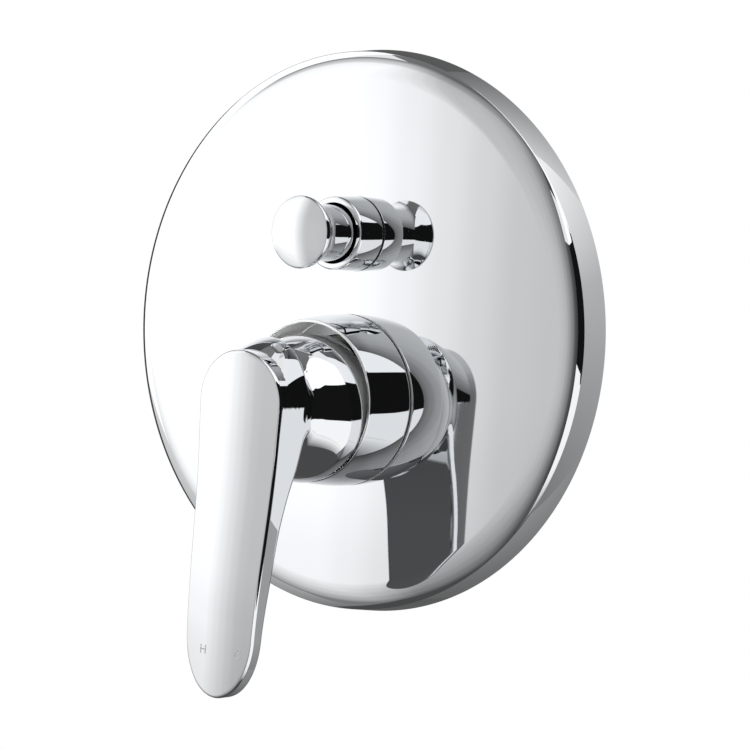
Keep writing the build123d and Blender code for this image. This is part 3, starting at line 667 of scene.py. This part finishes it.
# after the colours: roughness, grit in millimetres, then the height of the skin's bumps in millimetres
# for the chrome: roughness, cell in millimetres, detail and metallic
finishes = {
    "chrome_plate": platedFinish("chromePlatedBuffed", "#E4E6E8", (0.012, 0.035), 6.0, 3.0, 1.0),  # mirror
    "cast_brass": brassFinish("sandCastBrass", "#8C6E3E", "#B4925A", 0.42, 0.7, 0.06),  # dull, sandy skin
    "turned_brass": brassFinish("turnedBrass", "#B08A48", "#CDAA66", 0.24, 0.25, 0.01),  # smooth and bright
    "steel": mouldedFinish("brightSteel", "#A3A5A8", 0.25, 0.3, 0.005, 1.0),  # grey with soft highlights
    "black_rubber": mouldedFinish("mouldedRubber", "#161616", 0.62, 0.3, 0.02),  # matt black
    "foam": mouldedFinish("closedCellFoam", "#2B2B2C", 0.9, 0.9, 0.12),  # dead matt, fine pores
    "housing_plastic": mouldedFinish("mouldedAcetalLight", "#D5D3CC", 0.42, 0.4, 0.008),  # waxy off-white
    "slide_plastic": mouldedFinish("mouldedAcetalDark", "#43484E", 0.4, 0.4, 0.008),  # waxy dark grey
    "cap_plastic": mouldedFinish("mouldedCapPlastic", "#1B1C1E", 0.35, 0.3, 0.005),  # black, half gloss
    "ceramic_disc": mouldedFinish("lappedAlumina", "#E9E5DB", 0.16, 0.2, 0.003),  # ivory, glossy
}
# chrome over the unpolished inside of a hollow piece: soft, no mirror; its near-white, hardly metallic
# colour is a painted reflection of the bright surroundings
satinPaintedReflection = platedFinish("satinChromePaintedReflection", "#F4F4F3", (0.35, 0.55), 0.4, 4.0, 0.1)
etchedFinish = mouldedFinish("laserEtchedChrome", "#8F9091", 0.5, 0.2, 0.004)  # matt grey on the mirror
nickelFinish = mouldedFinish("nickelPlatedBrass", "#6E6D69", 0.3, 0.4, 0.004, 1.0)  # dull grey metal
print("finishes ready:", len(finishes))


# give a piece the finish of its slot
def dress(piece, slotName):
    piece.data.materials.clear()
    piece.data.materials.append(finishes[slotName])


# a new surface that stands for a CAD node
def standIn(piece, node, slotName):
    dress(piece, slotName)
    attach(piece, frame["nodes"][node]["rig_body"])
    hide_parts(node)


# faces that look towards the piece's axis or the wall get the satin finish, pale with a painted reflection
def paintedReflectionInside(piece, axisZ, toward=0.5):
    faces = piece.data.polygons
    centre = np.zeros(len(faces) * 3)
    normal = np.zeros(len(faces) * 3)
    faces.foreach_get("center", centre)
    faces.foreach_get("normal", normal)
    out = centre.reshape(-1, 3) * (1, 0, 1) - np.array((0, 0, axisZ * mm))
    out /= np.linalg.norm(out, axis=1)[:, None] + tiny
    normal = normal.reshape(-1, 3)
    inward = (np.sum(out * normal, 1) < -toward) | (normal[:, 1] > toward)
    piece.data.materials.append(satinPaintedReflection)
    faces.foreach_set("material_index", inward.astype(np.int32))


slotOf = {part["node"]: part["material_slot"] for part in frame["record"]["subparts"]}
for node, piece in frame["nodes"].items():
    dress(piece, slotOf[node])
frame["nodes"]["cartridge_nut"].data.materials[0] = nickelFinish

wallPlate = makePlate(plate)
standIn(wallPlate, "escutcheon_plate", "chrome_plate")
paintedReflectionInside(wallPlate, 0)
leverCollar = makeCollar(collar)
standIn(leverCollar, "lever_collar", "chrome_plate")
paintedReflectionInside(leverCollar, leverAxisZ)
standIn(makeSmallCollar(smallCollar), "diverter_collar", "chrome_plate")
standIn(makeKnob(knob), "diverter_knob", "chrome_plate")
print("turned chrome pieces made")
standIn(smoothSkin(hollowLever(makeLever(lever), socket)), "lever_handle", "chrome_plate")
standIn(makeCap(socket), "screw_cap", "cap_plastic")
print("lever made")

# hot and cold marks etched on the paddle, and the pipe threads in the four ports
# perHeight is the font size over a capital's height, and letters gives the x of each one's middle
marks = dict(height=2.6, perHeight=1.45, z=-94.7, lift=0.02, letters={"H": -5.0, "C": 7.8})
thread = dict(pitch=1.814, depth=0.5, length=15.0, perTurn=48)


# letter outline filled flat in X and Z, then laid on the paddle's face
def makeMark(letter, middleX, size):
    curve = bpy.data.curves.new(letter, "FONT")
    curve.body = letter
    curve.align_x = "CENTER"
    curve.size = size["perHeight"] * size["height"]
    flat = bpy.data.objects.new(letter, curve)
    bpy.context.scene.collection.objects.link(flat)
    view = bpy.context.evaluated_depsgraph_get()
    mesh = bpy.data.meshes.new_from_object(flat.evaluated_get(view))
    bpy.data.objects.remove(flat)
    spots = np.zeros(len(mesh.vertices) * 3)
    mesh.vertices.foreach_get("co", spots)
    x, up, _ = spots.reshape(-1, 3).T
    x = x + middleX
    z = up + size["z"]
    laid = np.stack([x, faceOf(x, z) - size["lift"], z], -1) * mm
    mesh.vertices.foreach_set("co", laid.ravel())
    mesh.update()
    mark = bpy.data.objects.new("mark" + letter, mesh)
    bpy.context.scene.collection.objects.link(mark)
    mark.data.materials.clear()
    mark.data.materials.append(etchedFinish)
    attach(mark, "lever")


# three-cornered ridge on a helix: r = bore, bore - depth, bore; along = pitch * (turns + 0, 1/2, 1)
def makeThread(mount, size):
    bore = mount["dims"]["r_mm"]
    axis = np.array(mount["axis"], float)
    side = np.array([0.0, 1.0, 0.0])  # square to the axis of every port
    turns = np.arange(int(size["length"] / size["pitch"] * size["perTurn"]) + 1) / size["perTurn"]
    angle = 2 * np.pi * turns[:, None]
    r = bore - size["depth"] * np.array([0, 1, 0])
    along = size["pitch"] * (turns[:, None] + np.array([0, 0.5, 1]))
    around = np.cos(angle)[..., None] * side + np.sin(angle)[..., None] * np.cross(axis, side)
    points = np.array(mount["pos_m"]) / mm - along[..., None] * axis + r[:, None] * around
    ridge = newPiece("thread_" + mount["name"], points, gridFaces(len(turns), 3, False, True))
    tidyMesh(ridge)
    dress(ridge, "turned_brass")
    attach(ridge, "fixed_body")


for letter, middleX in marks["letters"].items():
    makeMark(letter, middleX, marks)
for mount in frame["record"]["mounts"]:
    if mount["kind"] == "threaded_hole":
        makeThread(mount, thread)
print("marks and threads made")


# stage: cards of light and shade round the object, seen only in reflections
# azimuth is from the front (-Y) towards +X; elevation is (low, high) at the first and at the last azimuth
# levels run from the first azimuth to the last, or where rises is set from the low elevation to the high
cardR = 1500.0
cards = {
    "softboxLeft": dict(azimuth=(-97, -60), elevation=((-10, 55), (-18, 55)), levels=(1.3, 1.3)),
    "fadeLeftLow": dict(azimuth=(-97, -60), elevation=((-56, -10), (-56, -18)), levels=(0.2, 0.8),
                        rises=True),
    "flagFront": dict(azimuth=(17, 28), elevation=((-34, 20), (-34, 22)), levels=(0.15, 0.05)),
    "flagRight": dict(azimuth=(28, 46), elevation=((-5, 22), (-9, 29)), levels=(0.008, 0.008)),
    "flagMiddle": dict(azimuth=(46, 70), elevation=((-9, 29), (-12, 39)), levels=(0.008, 0.008)),
    "flagSide": dict(azimuth=(70, 125), elevation=((-12, 39), (-12, 33)), levels=(0.008, 0.008)),
    "softboxTop": dict(azimuth=(28, 70), elevation=((22, 86), (39, 86)), levels=(1.3, 1.3)),
    "softboxTopSide": dict(azimuth=(70, 125), elevation=((39, 86), (33, 86)), levels=(1.3, 1.3)),
    "softboxLow": dict(azimuth=(28, 46), elevation=((-32, -5), (-33, -9)), levels=(1.15, 1.15)),
    "softboxLowMiddle": dict(azimuth=(46, 70), elevation=((-33, -9), (-35, -12)), levels=(1.15, 1.15)),
    "softboxLowSide": dict(azimuth=(70, 125), elevation=((-35, -12), (-46, -12)), levels=(1.15, 1.15)),
    "fadeLow": dict(azimuth=(28, 125), elevation=((-54, -32), (-60, -46)), levels=(0.08, 1.15), rises=True),
    "darkFrontLow": dict(azimuth=(-60, 28), elevation=((-56, -34), (-56, -34)), levels=(0.25, 0.1)),
    "darkFrontTop": dict(azimuth=(-60, 28), elevation=((54, 70), (34, 70)), levels=(0.22, 0.08)),
    "ceilingLeft": dict(azimuth=(-160, 26), elevation=((58, 88), (58, 88)), levels=(0.22, 0.18)),
    "darkLow": dict(azimuth=(-180, 180), elevation=((-90, -54), (-90, -54)), levels=(0.08, 0.08)),
    "darkLeft": dict(azimuth=(-152, -97), elevation=((-56, 60), (-56, 60)), levels=(0.12, 0.05)),
    "greyBehindRight": dict(azimuth=(125, 152), elevation=((-56, 16), (-56, 16)), levels=(0.16, 0.55),
                            rises=True),
    "softboxBehind": dict(azimuth=(125, 158), elevation=((16, 46), (16, 46)), levels=(0.55, 1.1),
                          rises=True),
    "greyBehindLow": dict(azimuth=(152, 208), elevation=((-56, 10), (-56, 10)), levels=(0.32, 0.14)),
    "greyBehindTop": dict(azimuth=(158, 208), elevation=((10, 70), (10, 70)), levels=(0.72, 0.18)),
}
# big diffuser close to the object, before its front and its left: the level along x in millimetres,
# and the share of that level along z
diffuser = dict(y=-240.0, x=(-700.0, 150.0), z=(-450.0, 450.0), strength=1.36, grid=8)
diffuserAcross = {-700: 1.0, -185: 1.0, -170: 0.93, -152: 0.83, -132: 0.72, -115: 0.62, -97: 0.53, -78: 0.5,
                  -40: 0.5, 16: 0.47, 60: 0.42, 90: 0.33, 120: 0.23, 150: 0.14}
diffuserUp = {-450: 0.18, -330: 0.38, -250: 0.54, -190: 0.66, -150: 0.75, -110: 0.86, -70: 0.95,
              -30: 1.0, 40: 1.0, 100: 0.96, 200: 0.93, 260: 0.88, 330: 0.55, 450: 0.18}


# glowing material whose level is worked out from the card's own UV
def glowMaterial(name):
    material = bpy.data.materials.new(name)
    material.use_nodes = True
    tree = material.node_tree
    tree.nodes.clear()
    place = addNode(tree, "ShaderNodeUVMap", uv_map="place")
    split = addNode(tree, "ShaderNodeSeparateXYZ", {"Vector": place.outputs[0]})
    lamp = addNode(tree, "ShaderNodeEmission")
    addNode(tree, "ShaderNodeOutputMaterial", {"Surface": lamp.outputs[0]})
    return material, tree, split, lamp


# grid of points as a stage card that only reflections see, with shares of its columns and rows as UV
def newCard(name, points, material):
    rows, columns = points.shape[:2]
    card = newPiece(name, points, gridFaces(rows, columns))
    u, v = np.meshgrid(np.linspace(0, 1, columns), np.linspace(0, 1, rows))
    corners = np.zeros(len(card.data.loops), np.int32)
    card.data.loops.foreach_get("vertex_index", corners)
    place = np.stack([u.ravel()[corners], v.ravel()[corners]], -1)
    card.data.uv_layers.new(name="place").data.foreach_set("uv", place.astype(np.float32).ravel())
    card.data.materials.append(material)
    card.visible_camera = False
    card.visible_diffuse = False
    card.visible_shadow = False


# patch of a sphere round the origin: x = R cos e sin a, y = -R cos e cos a, z = R sin e
def makeCard(name, azimuth, elevation, levels, rises=False, columns=28, rows=14):
    turn = np.radians(np.linspace(*azimuth, columns))[None, :]
    low, high = np.linspace(*np.radians(elevation), columns).T
    rise = low + (high - low) * np.linspace(0, 1, rows)[:, None]
    flat = cardR * np.cos(rise)
    points = np.stack([flat * np.sin(turn), -flat * np.cos(turn), cardR * np.sin(rise)], -1)
    material, tree, split, lamp = glowMaterial(name)
    share = split.outputs["Y" if rises else "X"]
    level = addNode(tree, "ShaderNodeMapRange", {"Value": share, "To Min": levels[0], "To Max": levels[1]})
    tree.links.new(level.outputs[0], lamp.inputs["Strength"])
    newCard(name, points, material)


# grey ramp through stops given in millimetres
def rampOf(tree, share, stops, span):
    ramp = addNode(tree, "ShaderNodeValToRGB", {"Fac": share})
    ramp.color_ramp.interpolation = "EASE"
    places = [(at - span[0]) / (span[1] - span[0]) for at in stops]
    while len(ramp.color_ramp.elements) < len(places):
        ramp.color_ramp.elements.new(1.0)
    for element, at, level in zip(ramp.color_ramp.elements, places, stops.values()):
        element.position = at
        element.color = (level, level, level, 1)
    return ramp.outputs["Color"]


# flat card before the object, its level the product of the two ramps
def makeDiffuser(size):
    x, z = np.meshgrid(np.linspace(*size["x"], size["grid"]), np.linspace(*size["z"], size["grid"]))
    material, tree, split, lamp = glowMaterial("diffuser")
    across = rampOf(tree, split.outputs[0], diffuserAcross, size["x"])
    up = rampOf(tree, split.outputs[1], diffuserUp, size["z"])
    level = addNode(tree, "ShaderNodeMath", {0: across, 1: up}, operation="MULTIPLY").outputs[0]
    level = addNode(tree, "ShaderNodeMath", {0: level, 1: size["strength"]}, operation="MULTIPLY").outputs[0]
    tree.links.new(level, lamp.inputs["Strength"])
    newCard("diffuser", np.stack([x, np.full_like(x, size["y"]), z], -1), material)


for name, card in cards.items():
    makeCard(name, **card)
makeDiffuser(diffuser)

# pale floor of the room, far below the plate: white to the eye and to mirrors, matt paint for the rest
floor = dict(z=-1600.0, half=8000.0, grid=5, colour="#F2F2F0", seen="#FFFFFF")
lamps = {
    "key": dict(place=(-900, -1200, 900), size=900, watts=8.0),
    "fill": dict(place=(660, -860, 60), size=300, watts=10.0),
    "rear": dict(place=(-600, 1300, 700), size=900, watts=8.0),
}


# 1 for rays that show the background: straight ones and those from mirrors and glass
def seenRays(tree):
    path = addNode(tree, "ShaderNodeLightPath")
    seen = path.outputs["Is Camera Ray"]
    for kind in ("Is Glossy Ray", "Is Transmission Ray"):
        either = addNode(tree, "ShaderNodeMath", {0: seen, 1: path.outputs[kind]}, operation="MAXIMUM")
        seen = either.outputs[0]
    return seen


# flat square, painted, with a plain white for the rays that show it
def makeFloor(size):
    across = np.linspace(-size["half"], size["half"], size["grid"])
    x, y = np.meshgrid(across, across)
    points = np.stack([x, y, np.full_like(x, size["z"])], -1)
    piece = newPiece("floor", points, gridFaces(size["grid"], size["grid"]))
    material = bpy.data.materials.new("paintedFloor")
    material.use_nodes = True
    tree = material.node_tree
    tree.nodes.clear()
    paint = addNode(tree, "ShaderNodeBsdfDiffuse", {"Color": hexColour(size["colour"])})
    white = addNode(tree, "ShaderNodeEmission", {"Color": hexColour(size["seen"]), "Strength": 1.0})
    both = addNode(tree, "ShaderNodeMixShader",
                   {0: seenRays(tree), 1: paint.outputs[0], 2: white.outputs[0]})
    addNode(tree, "ShaderNodeOutputMaterial", {"Surface": both.outputs[0]})
    piece.data.materials.append(material)


# soft square lamp aimed at the origin, for what is not a mirror: the cards stand for it there
def makeLamp(name, place, size, watts):
    light = bpy.data.lights.new(name, "AREA")
    light.size = size * mm
    light.energy = watts
    lamp = bpy.data.objects.new(name, light)
    bpy.context.scene.collection.objects.link(lamp)
    lamp.location = Vector(place) * mm
    lamp.rotation_euler = (-Vector(place)).to_track_quat("-Z", "Y").to_euler()
    lamp.visible_glossy = False


makeFloor(floor)
for name, lamp in lamps.items():
    makeLamp(name, **lamp)

# the room around: white to the eye and to mirrors, a soft light for the rest
room = dict(colour="#FFFFFF", light=0.65, seen=1.0)
world = bpy.data.worlds.new("studio")
bpy.context.scene.world = world
world.use_nodes = True
tree = world.node_tree
tree.nodes.clear()
level = addNode(tree, "ShaderNodeMapRange",
                {"Value": seenRays(tree), "To Min": room["light"], "To Max": room["seen"]})
sky = addNode(tree, "ShaderNodeBackground",
              {"Color": hexColour(room["colour"]), "Strength": level.outputs[0]})
addNode(tree, "ShaderNodeOutputWorld", {"Surface": sky.outputs[0]})

# camera as in the photograph: right of the front, a little above, slightly rolled, in millimetres
shot = dict(place=(659.52, -859.50, 59.24), aim=(1.65, 0.34, -13.37), up=(-0.08692, 0.00197, 0.99621),
            lens=171.7, sensor=36.0)


def makeCamera(size):
    lens = bpy.data.cameras.new("camera")
    lens.sensor_width = size["sensor"]
    lens.lens = size["lens"]
    camera = bpy.data.objects.new("camera", lens)
    bpy.context.scene.collection.objects.link(camera)
    back = (Vector(size["place"]) - Vector(size["aim"])).normalized()
    right = Vector(size["up"]).cross(back).normalized()
    turn = Matrix((right, back.cross(right), back)).transposed().to_4x4()
    camera.matrix_world = Matrix.Translation(Vector(size["place"]) * mm) @ turn
    bpy.context.scene.camera = camera


makeCamera(shot)
bpy.context.scene.view_settings.view_transform = "Standard"
print("stage and camera set")
